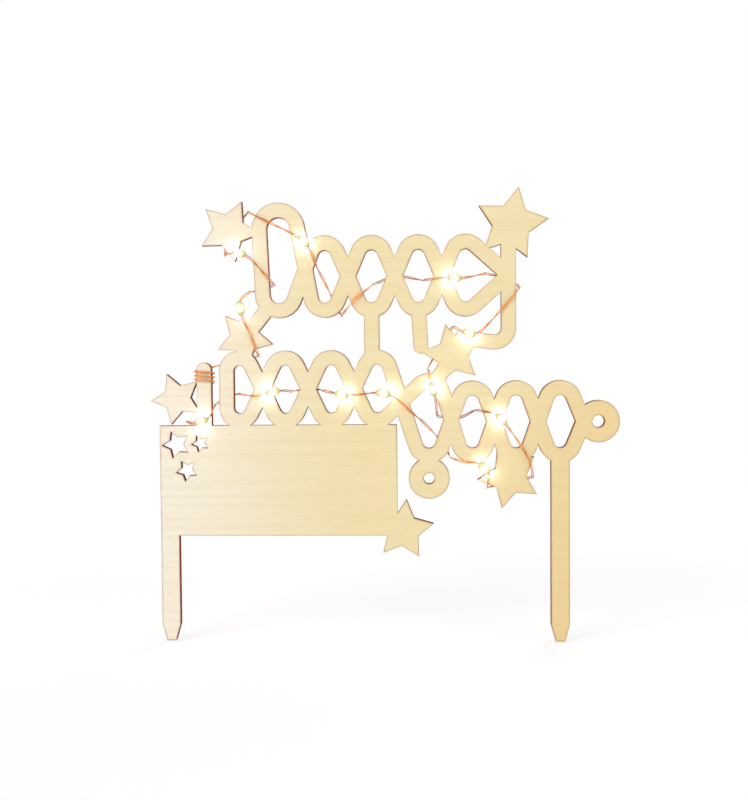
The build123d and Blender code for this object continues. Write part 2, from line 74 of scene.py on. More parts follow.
# Sign: rounded edges, and rings of points in its faces that let the scorch fade
edge_rounding = 0.08
scorch_rings = (0.35, 1.0)
least_mitre = 0.25
point_tolerance = 0.00001
front_normal_y = -0.99
corner_angle = 28.0
FACE = 0
WALL = 1

# Veneer's painted light and shade: where it turns from pale to birch, and from birch to honey at the lower
# right, as if lit more strongly from the left
cloud_width = 30.0
painted_light_span = (-85.0, 0.0)
painted_shade_span = (10.0, 85.0)
painted_shade_fall = -0.5
veneer_relief = 0.06

# Scorch along the rim of the veneer: a haze of uneven reach, and a charred line
haze_least = 0.05
haze_spread = 0.9
haze_fade = 1.9
char_span = (0.02, 0.3)

# Plies that show in the walls, by depth from the middle of the sheet
middle_ply_span = (0.52, 0.44)
glue_line_depth = 0.5
glue_line_half_width = 0.05
wall_relief = 0.12

# String of lamps: the route is the part's own, drawn closer to the edges that the wire goes round
wire_diameter = 0.9
wire_gap = 0.3
wire_resolution = 8
drop_radius = 1.6
drop_gap = 0.25
lamp_run = 6.4
strand_radius = 0.19
strand_offset = 0.3
strand_twist_length = 21.0
strand_sides = 8
strand_crease = 60.0
wire_tail = 5.0
wire_exit_run = 2.5
wire_exit_reach = 7.0
wire_exit_rise = 3.0
post_x = -58.5
post_top = 64.0
post_half_width = 2.75
winding_turns = 3
winding_pitch = 1.5
winding_top_drop = 3.0
tuck_lean = 1.5
tuck_bend_drop = 3.0
tuck_end_offset = 0.5
tuck_drop = 9.0
route = [
    ("back", -57.5, 37.5), ("through", -65.3, 42.2), ("lamp", -59.2, 42.5, 15), ("through", -54.3, 48.7),
    ("back", -50.0, 51.5), ("through", -45.6, 52.4), ("front", -39.0, 51.4), ("lamp", -32.8, 53.2, 10),
    ("through", -25.6, 53.2), ("back", -20.0, 54.2), ("through", -14.8, 53.5), ("lamp", -7.6, 52.0, -12),
    ("lamp", 7.6, 52.4, -8), ("front", 14.6, 48.4), ("through", 20.9, 42.6), ("back", 28.0, 35.4),
    ("through", 31.9, 28.7), ("front", 36.8, 26.8), ("lamp", 44.1, 24.8, -50), ("through", 45.0, 17.2),
    ("back", 54.8, 19.0), ("through", 61.9, 21.2), ("front", 60.8, 28.0), ("lamp", 50.3, 42.7, 135),
    ("through", 41.4, 46.0), ("back", 34.4, 42.1), ("through", 27.1, 43.7), ("lamp", 25.7, 53.7, 108),
    ("through", 23.9, 61.4), ("back", 29.4, 71.6), ("through", 33.1, 76.6), ("lamp", 38.8, 73.9, -14),
    ("front", 46.1, 77.6), ("front", 54.2, 86.4), ("through", 57.4, 90.9), ("back", 51.8, 94.4),
    ("through", 45.4, 95.6), ("lamp", 33.6, 93.9, 176), ("through", 22.4, 93.4), ("back", 12.0, 95.6),
    ("through", 4.8, 92.4), ("front", -2.2, 87.2), ("front", -4.4, 84.6), ("through", -7.7, 80.5),
    ("back", -10.2, 85.6), ("through", -15.8, 97.0), ("lamp", -21.0, 107.6, 136), ("front", -31.2, 113.6),
    ("through", -41.8, 119.0), ("back", -47.6, 113.4), ("back", -50.4, 108.2), ("through", -50.5, 103.0),
    ("lamp", -44.7, 103.6, -8), ("front", -37.2, 98.0), ("through", -32.2, 92.4), ("back", -36.5, 91.0),
    ("through", -41.0, 89.8), ("lamp", -44.4, 83.7, -80), ("front", -41.2, 74.7), ("through", -38.2, 66.4),
    ("back", -45.0, 64.5), ("back", -51.0, 63.4),
]

# Resin drops: a drawn-out shape that leans, swells and bulges a little differently with each lamp's number
drop_half_length = 2.9
drop_excess = 0.1
drop_taper = 2.3
drop_fullness = 0.62
drop_rings = 18
drop_sides = 24
lean_size = 0.12
lean_rate = 2.4
plump_size = 0.05
plump_rate = 1.7
bulge_size = 0.04
ripple_size = 0.02
ripple_lobes = 3

# Light of the drops: a core before the chip, a faint one behind it, and the rear where it faces wood
chip_forward = 0.8
glow_reach = 0.95
back_glow = 0.3
wood_glow = 4.2
wood_glow_start = 0.38
wood_glow_span = 0.4
wood_glow_power = 4
wood_aim = 2.2
least_backing = 0.16
lamp_glow = 8.0
rim_glow = 0.04
phosphor_glow = 6.0

# Box and foam tape: rounded edges, angles between faces, and depths of surface texture
tray_rounding = 0.25
cover_rounding = 0.14
lever_rounding = 0.12
resistor_rounding = 0.08
cell_rounding = 0.1
tape_rounding = 0.3
rounding_steps = 3
flat_angle = 1.0
rounding_angle = 35.0
crease_angle = 40.0
plastic_relief = 0.04
foam_relief = 0.2
brushing_relief = 0.03
track_relief = 0.05

# Glue blob: each wave has a height and rates along X, Y and Z
glue_subdivisions = 3
glue_roundness = 0.8
glue_fill = 0.94
glue_waves = [(0.06, (0, 5, 2)), (0.05, (4, 0, -3))]

# Lights: strength 1 at a white surface shows as white, and each panel has a place, size, power and colour
sky_level = 0.515
panels = [
    ("key", (-750.0, -950.0, 750.0), 700.0, 7.2, (1.0, 0.98, 0.95)),
    ("fill", (900.0, -800.0, 300.0), 800.0, 2.6, (1.0, 0.97, 0.92)),
    ("back", (500.0, 1000.0, 600.0), 800.0, 4.6, (1.0, 0.98, 0.95)),
]

# Floor: near the object part of its white is its own, and past the fade all of it
floor_radius = 4000.0
floor_sides = 64
floor_drop = 0.4
floor_grey = (0.92, 0.92, 0.92, 1.0)
floor_share = 0.55
floor_white = 1.19
floor_fade = (150.0, 600.0)

# Range that holds nearly all of a noise
noise_span = (0.3, 0.7)

# Places worked out from the frame
half_sheet = (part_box("plywood_sign")[1] / MM).y
lane_y = half_sheet + wire_gap + wire_diameter / 2
lamp_y = half_sheet + drop_gap + drop_radius
glue_low, glue_high = (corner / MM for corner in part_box("glue_plug"))
case_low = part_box("battery_case")[0] / MM


def metres(lengths):
    """Lengths in metres."""
    return [length * MM for length in lengths]


def circle_angles(sides):
    """Angles of equal steps round a circle, in radians."""
    return [2 * math.pi * step / sides for step in range(sides)]


# Shader building
def srgb(code):
    """Linear colour of a six-digit sRGB code."""
    channels = [int(code[start:start + 2], 16) / 255 for start in (0, 2, 4)]
    linear = [c / 12.92 if c <= 0.04045 else ((c + 0.055) / 1.055) ** 2.4 for c in channels]
    return (*linear, 1.0)


def feed(tree, node, inputs):
    """Link inputs of a node to other sockets, or set their values."""
    for key, value in inputs.items():
        if isinstance(value, bpy.types.NodeSocket):
            tree.links.new(value, node.inputs[key])
        else:
            node.inputs[key].default_value = value


def add(tree, kind, inputs=None, **settings):
    """New shader node with its settings and inputs."""
    node = tree.nodes.new("ShaderNode" + kind)
    for name, value in settings.items():
        setattr(node, name, value)
    feed(tree, node, inputs or {})
    return node


def math_node(tree, operation, *values):
    """Result of one arithmetic step."""
    node = add(tree, "Math", dict(enumerate(values)), operation=operation)
    return node.outputs[0]


def tint(tree, color, amount, code):
    """Colour with another one laid over it, by an amount."""
    node = add(tree, "Mix", {0: amount, 6: color, 7: srgb(code)}, data_type="RGBA")
    return node.outputs[2]


def remap(tree, value, low, high, to_low=0.0, to_high=1.0):
    """Value carried smoothly from one range to another, held at the ends."""
    inputs = {"Value": value, "From Min": low, "From Max": high, "To Min": to_low, "To Max": to_high}
    return add(tree, "MapRange", inputs, interpolation_type="SMOOTHSTEP").outputs[0]


def spread(tree, noise, to_low=0.0, to_high=1.0):
    """Noise spread over a range."""
    return remap(tree, noise, *noise_span, to_low, to_high)


def two_tones(tree, noise, first, second):
    """Colour that wanders between two codes with a noise."""
    return tint(tree, srgb(first), spread(tree, noise), second)


def own_place(tree):
    """Place in the object's own coordinates, in metres."""
    return add(tree, "TexCoord").outputs["Object"]


def own_axes(tree):
    """Node whose outputs are the object's own X, Y and Z, in metres."""
    return add(tree, "SeparateXYZ", {0: own_place(tree)})


def stretched_noise(tree, scale, detail, roughness=0.55, distortion=0.0):
    """Noise on the object's own coordinates, with features per metre along each axis."""
    place = add(tree, "Mapping", {"Vector": own_place(tree), "Scale": scale}).outputs[0]
    inputs = {"Vector": place, "Scale": 1.0, "Detail": detail, "Roughness": roughness}
    return add(tree, "TexNoise", {**inputs, "Distortion": distortion}).outputs["Fac"]


def even_noise(tree, features, detail):
    """Noise with the same number of features per metre along every axis."""
    return stretched_noise(tree, (features, features, features), detail)


def empty_tree(owner):
    """Node tree of a material or a world, with nothing in it yet."""
    owner.use_nodes = True
    owner.node_tree.nodes.clear()
    return owner.node_tree


def new_material(name):
    """New material, its tree and its principled shader."""
    material = bpy.data.materials.new(name)
    tree = empty_tree(material)
    shader = add(tree, "BsdfPrincipled")
    add(tree, "OutputMaterial", {"Surface": shader.outputs[0]})
    return material, tree, shader


def set_bump(tree, shader, height, strength, relief):
    """Bump from a height, with its full depth in millimetres."""
    bump = add(tree, "Bump", {"Height": height, "Strength": strength, "Distance": relief * MM})
    feed(tree, shader, {"Normal": bump.outputs[0]})


# Materials
def scorched(tree, color):
    """Colour of the veneer with a brown haze and a charred line along its rim."""
    rim = add(tree, "Attribute", attribute_name="rim").outputs["Fac"]
    smoke = even_noise(tree, 420, 3.0)
    reach = math_node(tree, "MULTIPLY_ADD", smoke, haze_spread, haze_least)
    haze = remap(tree, math_node(tree, "DIVIDE", rim, reach), 0.0, haze_fade, 0.24, 0.0)
    color = tint(tree, color, haze, "C0703E")
    return tint(tree, color, remap(tree, rim, *char_span, 0.6, 0.0), "963408")


def wood_face_material():
    """Pale birch veneer: level grain, short flecks, painted light that pales it to the left and painted
    shade that warms it to the lower right, with a scorched rim.
    """
    material, tree, shader = new_material("birch_veneer")
    axes = own_axes(tree)
    clouds = stretched_noise(tree, (9, 40, 26), 3.0)
    # Painted light and shade: the colour pales towards the left and deepens to honey at the lower right,
    # standing in for stronger light from the left
    cloud_shift = math_node(tree, "MULTIPLY_ADD", clouds, cloud_width * MM, -cloud_width * MM / 2)
    across = math_node(tree, "ADD", axes.outputs["X"], cloud_shift)
    color = tint(tree, srgb("FCF5E6"), remap(tree, across, *metres(painted_light_span)), "F5E5B7")
    toward_painted_shade = math_node(tree, "MULTIPLY_ADD", axes.outputs["Z"], painted_shade_fall, across)
    color = tint(tree, color, remap(tree, toward_painted_shade, *metres(painted_shade_span)), "F3D9A0")
    bands = stretched_noise(tree, (14, 150, 520), 3.0, 0.6, 0.35)
    color = tint(tree, color, remap(tree, bands, 0.35, 0.72, 0.0, 0.22), "E6CD97")
    fibres = stretched_noise(tree, (130, 900, 3600), 3.0, 0.6)
    color = tint(tree, color, remap(tree, fibres, 0.52, 0.75, 0.0, 0.20), "DDC08A")
    flecks = stretched_noise(tree, (320, 900, 5200), 1.0, 0.5)
    color = tint(tree, color, remap(tree, flecks, 0.66, 0.74, 0.0, 0.25), "CBA36B")
    roughness = spread(tree, fibres, 0.52, 0.66)
    feed(tree, shader, {"Base Color": scorched(tree, color), "Roughness": roughness})
    feed(tree, shader, {"Specular IOR Level": 0.28})
    grain = math_node(tree, "ADD", math_node(tree, "MULTIPLY", bands, 0.4), fibres)
    set_bump(tree, shader, grain, 0.35, veneer_relief)
    return material


def wood_edge_material():
    """Laser-cut wall: charred, streaked through the thickness, with the plies still showing."""
    material, tree, shader = new_material("charred_edge")
    streaks = stretched_noise(tree, (2300, 120, 2300), 3.0, 0.65)
    color = tint(tree, srgb("6A230E"), remap(tree, streaks, 0.35, 0.68), "A24B22")
    blotches = even_noise(tree, 240, 3.0)
    color = tint(tree, color, remap(tree, blotches, 0.5, 0.75, 0.0, 0.55), "B86434")
    depth = math_node(tree, "ABSOLUTE", own_axes(tree).outputs["Y"])
    middle_ply = remap(tree, depth, *metres(middle_ply_span), 0.0, 0.35)
    color = tint(tree, color, middle_ply, "682814")
    glue_line = math_node(tree, "COMPARE", depth, glue_line_depth * MM, glue_line_half_width * MM)
    color = tint(tree, color, math_node(tree, "MULTIPLY", glue_line, 0.6), "2A0C06")
    feed(tree, shader, {"Base Color": color, "Roughness": spread(tree, streaks, 0.7, 0.9)})
    feed(tree, shader, {"Specular IOR Level": 0.0})
    set_bump(tree, shader, streaks, 0.5, wall_relief)
    return material


def copper_material():
    """Enamelled copper: bright orange metal, darker where the varnish is thick."""
    material, tree, shader = new_material("enamelled_copper")
    tone = even_noise(tree, 190, 3.0)
    color = two_tones(tree, tone, "D27A30", "F8AA52")
    varnish = even_noise(tree, 60, 2.0)
    color = tint(tree, color, remap(tree, varnish, 0.52, 0.68, 0.0, 0.6), "8E3A14")
    feed(tree, shader, {"Base Color": color, "Roughness": spread(tree, tone, 0.22, 0.38)})
    feed(tree, shader, {"Metallic": 1.0, "Coat Weight": 0.4, "Coat Roughness": 0.12})
    return material


def resin_material():
    """Warm resin, white with light where the chip shines out of it and honey-coloured elsewhere."""
    material, tree, shader = new_material("lit_resin")
    swirl = even_noise(tree, 900, 2.0)
    color = two_tones(tree, swirl, "E4D6A6", "D4C58C")
    feed(tree, shader, {"Base Color": color, "Roughness": spread(tree, swirl, 0.08, 0.18), "IOR": 1.5})
    glow = add(tree, "Attribute", attribute_name="glow").outputs["Fac"]
    light = tint(tree, srgb("F2DDA0"), glow, "F4F7FF")
    light = tint(tree, light, remap(tree, glow, 1.0, 2.0), "E0E9FF")
    level = math_node(tree, "MULTIPLY_ADD", glow, lamp_glow, rim_glow)
    feed(tree, shader, {"Emission Color": light, "Emission Strength": level})
    return material


def chip_material():
    """Phosphor cap of a lamp chip."""
    material, tree, shader = new_material("lit_phosphor")
    specks = even_noise(tree, 6000, 2.0)
    feed(tree, shader, {"Base Color": two_tones(tree, specks, "F2C84B", "FFE27A"), "Roughness": 0.5})
    light = tint(tree, srgb("FFE9B0"), specks, "FFF6DF")
    feed(tree, shader, {"Emission Color": light, "Emission Strength": phosphor_glow})
    return material


def plastic_material(name, light, dark, roughness, features=2600, relief=plastic_relief):
    """Moulded plastic with a fine spark-eroded texture and slight tone changes."""
    material, tree, shader = new_material(name)
    tone = even_noise(tree, 60, 3.0)
    texture = even_noise(tree, features, 2.0)
    color = two_tones(tree, tone, dark, light)
    feed(tree, shader, {"Base Color": color, "Roughness": spread(tree, texture, *roughness)})
    set_bump(tree, shader, texture, 0.3, relief)
    return material


def metal_material(name, light, dark, roughness, scale):
    """Plated metal with brushing along the directions that have few features per metre."""
    material, tree, shader = new_material(name)
    brushing = stretched_noise(tree, scale, 3.0, 0.6)
    color = two_tones(tree, brushing, dark, light)
    feed(tree, shader, {"Base Color": color, "Roughness": spread(tree, brushing, *roughness)})
    feed(tree, shader, {"Metallic": 1.0})
    set_bump(tree, shader, brushing, 0.15, brushing_relief)
    return material


def board_material():
    """Green solder mask over woven glass, with faint copper tracks under it."""
    material, tree, shader = new_material("solder_mask")
    inputs = {"Vector": own_place(tree), "Scale": 380.0, "Detail": 0.0, "Distortion": 0.0}
    tracks = add(tree, "TexWave", inputs, bands_direction="X").outputs["Fac"]
    color = tint(tree, srgb("1E5A32"), remap(tree, tracks, 0.45, 0.55), "2B7A45")
    weave = even_noise(tree, 1800, 1.0)
    color = tint(tree, color, remap(tree, weave, 0.4, 0.8, 0.0, 0.3), "123D22")
    feed(tree, shader, {"Base Color": color, "Roughness": spread(tree, weave, 0.25, 0.4)})
    set_bump(tree, shader, tracks, 0.3, track_relief)
    return material


def glue_material():
    """Cloudy hot glue."""
    material, tree, shader = new_material("hot_glue")
    clouds = even_noise(tree, 700, 3.0)
    color = two_tones(tree, clouds, "E6E1D2", "F4F1E8")
    feed(tree, shader, {"Base Color": color, "Roughness": spread(tree, clouds, 0.2, 0.34)})
    feed(tree, shader, {"Transmission Weight": 0.3})
    return material


# Meshes and objects
def weld(shape):
    """Join the points of a shape that lie in one place."""
    bmesh.ops.remove_doubles(shape, verts=shape.verts, dist=weld_distance * MM)


def join_rings(shape, rings):
    """Bands of four-sided faces from each ring of points to the next."""
    bands = []
    for first, second in zip(rings, rings[1:]):
        band = []
        for step in range(len(first)):
            after = (step + 1) % len(first)
            band.append(shape.faces.new((first[step], second[step], second[after], first[after])))
        bands.append(band)
    return bands


def finished_mesh(name, shape, crease=None):
    """Smooth mesh of a shape, with its edges sharp past an angle if one is given."""
    mesh = bpy.data.meshes.new(name)
    shape.to_mesh(mesh)
    shape.free()
    mesh.shade_smooth()
    if crease is not None:
        mesh.set_sharp_from_angle(angle=math.radians(crease))
    return mesh


def add_object(name, data):
    """Object in the scene with its data."""
    item = bpy.data.objects.new(name, data)
    bpy.context.scene.collection.objects.link(item)
    return item


def make_object(name, mesh, *materials):
    """Mesh object in the scene with its materials."""
    for material in materials:
        mesh.materials.append(material)
    return add_object(name, mesh)


def evaluated_mesh(item):
    """New mesh of an object as its modifiers or its curve make it."""
    return bpy.data.meshes.new_from_object(item.evaluated_get(bpy.context.evaluated_depsgraph_get()))


def dress(piece, body, slot, *replaced):
    """Put a piece on its body, in place of CAD nodes."""
    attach(piece, body)
    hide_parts(*replaced)
    return piece


# Sign
def outline_loops(mesh):
    """Loops round the front face, in X and Z, with the wood on their left."""
    shape = bmesh.new()
    shape.from_mesh(mesh)
    weld(shape)
    shape.normal_update()
    follower = {}
    for face in shape.faces:
        if face.normal.y > front_normal_y:
            continue
        for corner in face.loops:
            neighbours = [other for other in corner.edge.link_faces if other != face]
            if neighbours[0].normal.y > front_normal_y:
                follower[corner.vert.index] = corner.link_loop_next.vert.index
    shape.verts.ensure_lookup_table()
    places = {index: shape.verts[index].co / MM for index in follower}
    loops = []
    while follower:
        index = min(follower)
        loop = []
        while index in follower:
            loop.append((places[index].x, places[index].z))
            index = follower.pop(index)
        loops.append(np.array(loop))
    shape.free()
    return loops


def inset(loop, distance):
    """Loop moved into the wood by a distance, with mitred corners."""
    ahead = np.roll(loop, -1, axis=0) - loop
    ahead /= np.linalg.norm(ahead, axis=1)[:, None]
    left = np.column_stack((-ahead[:, 1], ahead[:, 0]))
    before = np.roll(left, 1, axis=0)
    mitre = np.maximum(1 + np.sum(left * before, axis=1), least_mitre)
    return loop + distance * (left + before) / mitre[:, None]


def edges_of(loops):
    """Start and end of every straight edge of the loops."""
    for loop in loops:
        yield from zip(loop, np.roll(loop, -1, axis=0))


def distance_to_loops(points, loops):
    """Least distance from each point to the loops."""
    least = np.full(len(points), np.inf)
    for start, end in edges_of(loops):
        run = end - start
        share = np.clip(((points - start) @ run) / (run @ run), 0, 1)
        gap = np.linalg.norm(points - start - share[:, None] * run, axis=1)
        least = np.minimum(least, gap)
    return least


def inside_loops(points, loops):
    """Which points lie in the wood, by counting crossings."""
    inside = np.zeros(len(points), bool)
    for start, end in edges_of(loops):
        if start[1] == end[1]:
            continue
        crosses = (start[1] > points[:, 1]) != (end[1] > points[:, 1])
        share = (points[:, 1] - start[1]) / (end[1] - start[1])
        inside ^= crosses & (points[:, 0] < start[0] + share * (end[0] - start[0]))
    return inside


def face_triangles(loops, face_loops):
    """Points and triangles that fill the sheet's face, with rings of points along its rim."""
    corners = []
    links = []
    for distance in (edge_rounding,) + scorch_rings:
        for loop in loops:
            first = len(corners)
            corners += [Vector(point) for point in inset(loop, distance)]
            links += [(first + step, first + (step + 1) % len(loop)) for step in range(len(loop))]
    flat = geometry.delaunay_2d_cdt(corners, links, [], 0, point_tolerance)
    points = np.array([tuple(point) for point in flat[0]])
    triangles = np.array(flat[2])
    return points, triangles[inside_loops(points[triangles].mean(axis=1), face_loops)]


def make_sign(loops):
    """The sheet with softened edges: two faces that know how near their rim is, and charred walls."""
    face_loops = [inset(loop, edge_rounding) for loop in loops]
    points, triangles = face_triangles(loops, face_loops)
    rim = distance_to_loops(points, loops)
    shape = bmesh.new()
    rim_layer = shape.verts.layers.float.new("rim")
    for side in (-1, 1):
        verts = []
        for (x, z), gap in zip(points, rim):
            vert = shape.verts.new((x * MM, side * half_sheet * MM, z * MM))
            vert[rim_layer] = gap
            verts.append(vert)
        for triangle in triangles:
            shape.faces.new([verts[index] for index in triangle[::-side]])
    loose = [vert for vert in shape.verts if not vert.link_faces]
    bmesh.ops.delete(shape, geom=loose, context="VERTS")
    wall_y = half_sheet - edge_rounding
    for loop, face_loop in zip(loops, face_loops):
        levels = [(face_loop, -half_sheet), (loop, -wall_y), (loop, wall_y), (face_loop, half_sheet)]
        rows = [[shape.verts.new((x * MM, y * MM, z * MM)) for x, z in ring] for ring, y in levels]
        for band, surface in zip(join_rings(shape, rows), (FACE, WALL, FACE)):
            for strip in band:
                strip.material_index = surface
    weld(shape)
    bmesh.ops.recalc_face_normals(shape, faces=shape.faces)
    mesh = finished_mesh("sign_board", shape, corner_angle)
    sign = make_object("sign_board", mesh, wood_face_material(), wood_edge_material())
    dress(sign, "topper", "plywood", "plywood_sign")


# String of lamps
def wire_exit():
    """Control points of the wire's way from the glue in the box to the open."""
    entry_y = (glue_low.y + glue_high.y) / 2
    entry_z = (glue_low.z + glue_high.z) / 2
    return [
        Vector((glue_low.x + wire_tail, entry_y, entry_z)),
        Vector((case_low.x - wire_exit_run, entry_y, entry_z)),
        Vector((case_low.x - wire_exit_reach, (entry_y + lane_y) / 2, entry_z + wire_exit_rise)),
    ]


def wire_weave():
    """Control points of the wire's way through the sheet, and the middle and direction of each lamp."""
    points = []
    lamps = []
    side = 1
    for stop in route:
        kind, x, z = stop[:3]
        if kind == "through":
            points += [Vector((x, side * lane_y, z)), Vector((x, -side * lane_y, z))]
            side = -side
        elif kind == "lamp":
            heading = math.radians(stop[3])
            along = Vector((math.cos(heading), 0, math.sin(heading)))
            middle = Vector((x, -lamp_y, z))
            points += [middle - along * (lamp_run / 2), middle + along * (lamp_run / 2)]
            lamps.append((middle, along))
        else:
            points.append(Vector((x, side * lane_y, z)))
    return points, lamps


def wire_winding():
    """Control points of the wire's turns about the post, and of its end tucked behind it."""
    half_turn = post_half_width + wire_gap + wire_diameter / 2
    corners = [(-1, 1), (-1, -1), (1, -1), (1, 1)]
    winding_top = post_top - winding_top_drop
    points = []
    for quarter in range(len(corners) * winding_turns):
        side_x, side_y = corners[quarter % len(corners)]
        height = winding_top - winding_pitch * quarter / len(corners)
        points.append(Vector((post_x + side_x * half_turn, side_y * lane_y, height)))
    tuck_z = winding_top - winding_pitch * winding_turns
    points.append(Vector((post_x - tuck_lean, lane_y, tuck_z - tuck_bend_drop)))
    points.append(Vector((post_x + tuck_end_offset, lane_y, tuck_z - tuck_drop)))
    return points


def smooth_line(points):
    """Points read from a smooth line that has the given ones as its control points."""
    curve = bpy.data.curves.new("wire_line", "CURVE")
    curve.dimensions = "3D"
    spline = curve.splines.new("NURBS")
    spline.points.add(len(points) - 1)
    for control, point in zip(spline.points, points):
        control.co = (*point, 1.0)
    spline.order_u = 3
    spline.use_endpoint_u = True
    spline.resolution_u = wire_resolution
    holder = add_object("wire_line", curve)
    bpy.context.view_layer.update()
    mesh = evaluated_mesh(holder)
    line = [vert.co.copy() for vert in mesh.vertices]
    bpy.data.objects.remove(holder)
    bpy.data.curves.remove(curve)
    bpy.data.meshes.remove(mesh)
    return line


def axes_along(line):
    """Two directions across a line at each of its points, carried along without twist."""
    axes = []
    across = Vector((0, 0, 1))
    for index in range(len(line)):
        ahead = (line[min(index + 1, len(line) - 1)] - line[max(index - 1, 0)]).normalized()
        across = (across - ahead * across.dot(ahead)).normalized()
        axes.append((across, ahead.cross(across)))
    return axes


def spoke(axes, angle, radius):
    """Step from a line's point to a place round it."""
    across, other = axes
    return radius * (math.cos(angle) * across + math.sin(angle) * other)


def tube_mesh(name, line, radius, sides):
    """Round tube along a line, closed at both ends, in metres."""
    shape = bmesh.new()
    rings = []
    for point, axes in zip(line, axes_along(line)):
        places = [(point + spoke(axes, angle, radius)) * MM for angle in circle_angles(sides)]
        rings.append([shape.verts.new(place) for place in places])
    join_rings(shape, rings)
    shape.faces.new(rings[0][::-1])
    shape.faces.new(rings[-1])
    bmesh.ops.recalc_face_normals(shape, faces=shape.faces)
    return finished_mesh(name, shape, strand_crease)


def make_strands(points):
    """Two enamelled strands that turn slowly about the wire's line."""
    line = smooth_line(points)
    runs = [0.0] + [(end - start).length for start, end in zip(line, line[1:])]
    twists = 2 * math.pi * np.cumsum(runs) / strand_twist_length
    copper = copper_material()
    for name, start_angle in (("wire_strand_a", 0.0), ("wire_strand_b", math.pi)):
        strand = []
        for point, axes, twist in zip(line, axes_along(line), twists):
            strand.append(point + spoke(axes, start_angle + twist, strand_offset))
        mesh = tube_mesh(name, strand, strand_radius, strand_sides)
        dress(make_object(name, mesh, copper), "topper", "copper", "copper_wire")


# Resin drops
def drop_shares():
    """Place of each ring along a drop, from -1 at one tip to 1 at the other."""
    return [-math.cos(math.pi * step / drop_rings) for step in range(1, drop_rings)]


def drop_spots(number, along):
    """Rings of places about a drop's middle, each starting at its front."""
    front = Vector((0, -1, 0))
    across = front.cross(along)
    lean = lean_size * math.sin(lean_rate * number)
    plump = 1.0 + plump_size * math.sin(plump_rate * number)
    rings = []
    for share in drop_shares():
        swell = (1 - abs(share) ** drop_taper) ** drop_fullness * (1 + lean * share)
        radius = min(plump * drop_radius * swell, drop_radius + drop_excess)
        ring = []
        for angle in circle_angles(drop_sides):
            ripple = ripple_size * math.sin(ripple_lobes * angle + 2 * number)
            bulge = 1 + bulge_size * math.sin(angle + number) + ripple
            outward = (math.cos(angle) * front + math.sin(angle) * across) * radius * bulge
            ring.append(outward + along * (share * drop_half_length))
        rings.append(ring)
    return rings


def drop_glow(spots, middle, loops):
    """Light over a drop: two cores, and the rear where it faces wood, stronger if that part is small."""
    turns = np.array([-math.cos(angle) for angle in circle_angles(drop_sides)])
    rearward = np.clip((turns - wood_glow_start) / wood_glow_span, 0, 1)
    to_wood = np.outer(1 - np.array(drop_shares()) ** wood_glow_power, rearward).ravel()
    aims = np.array([middle + wood_aim * spot for spot in spots])
    lit = to_wood * inside_loops(aims[:, [0, 2]], loops)
    lit *= wood_glow / max(lit.sum() / to_wood.sum(), least_backing)
    chip = Vector((0, -chip_forward, 0))
    levels = []
    for spot, level in zip(spots, lit):
        front_core = math.exp(-((spot - chip).length / glow_reach) ** 2)
        back_core = back_glow * math.exp(-((spot + chip).length / glow_reach) ** 2)
        levels.append(max(front_core, back_core, level))
    return levels


def make_drop(number, middle, along, resin, loops):
    """Drop of resin drawn out along the wire, a little uneven, that lights the wood its rear faces."""
    name = f"lamp_drop_{number:02d}"
    spots = drop_spots(number, along)
    shape = bmesh.new()
    glow_layer = shape.verts.layers.float.new("glow")
    rings = [[shape.verts.new((middle + spot) * MM) for spot in ring] for ring in spots]
    for vert, level in zip(sum(rings, []), drop_glow(sum(spots, []), middle, loops)):
        vert[glow_layer] = level
    join_rings(shape, rings)
    for ring, end in ((rings[0], -1), (rings[-1], 1)):
        tip = shape.verts.new((middle + along * (end * drop_half_length)) * MM)
        for step in range(drop_sides):
            shape.faces.new((ring[step], ring[(step + 1) % drop_sides], tip))
    bmesh.ops.recalc_face_normals(shape, faces=shape.faces)
    drop = make_object(name, finished_mesh(name, shape), resin)
    dress(drop, "topper", "lamp_resin", f"led_drop_{number:02d}")


# Box, foam tape and glue
def softened(name, node, material, body, slot, width):
    """Copy of a CAD node with rounded edges, in its place."""
    shape = bmesh.new()
    shape.from_mesh(nodes[node].data)
    weld(shape)
    flat = math.radians(flat_angle)
    bmesh.ops.dissolve_limit(shape, angle_limit=flat, verts=shape.verts, edges=shape.edges)
    mesh = finished_mesh(name, shape)
    piece = make_object(name, mesh, material)
    bevel = piece.modifiers.new("rounding", "BEVEL")
    bevel.width = width * MM
    bevel.segments = rounding_steps
    bevel.limit_method = "ANGLE"
    bevel.angle_limit = math.radians(rounding_angle)
    bevel.use_clamp_overlap = True
    rounded = evaluated_mesh(piece)
    piece.modifiers.clear()
    piece.data = rounded
    bpy.data.meshes.remove(mesh)
    rounded.name = name
    rounded.shade_smooth()
    rounded.set_sharp_from_angle(angle=math.radians(crease_angle))
    return dress(piece, body, slot, node)


def paint(node, material):
    """Give a CAD node its material."""
    mesh = nodes[node].data
    mesh.materials.clear()
    mesh.materials.append(material)


def make_box():
    """Coin-cell box: shells and inner pieces."""
    shell = plastic_material("box_white", "F1F0EC", "E7E5DF", (0.36, 0.48))
    softened("box_tray", "battery_case", shell, "topper", "box_plastic", tray_rounding)
    softened("box_cover", "battery_cover", shell, "cover", "cover_plastic", cover_rounding)
    black = plastic_material("switch_black", "1C1C1E", "131315", (0.39, 0.51))
    softened("switch_nub", "switch_lever", black, "switch", "component_black", lever_rounding)
    softened("resistor_chip", "resistor", black, "topper", "component_black", resistor_rounding)
    steel = metal_material("cell_steel", "D6D7D6", "C6C8C9", (0.21, 0.35), (160, 900, 3400))
    for number in (1, 2):
        softened(f"cell_{number}", f"coin_cell_{number}", steel, "topper", "cell_steel", cell_rounding)
    leaf = metal_material("leaf_nickel", "D8D3C6", "C2BCAD", (0.17, 0.31), (120, 900, 900))
    paint("contact_negative", leaf)
    paint("contact_positive", leaf)
    paint("switch_housing", metal_material("switch_tin", "CDD0D2", "B5B9BC", (0.27, 0.41), (200, 900, 900)))
    paint("circuit_board", board_material())


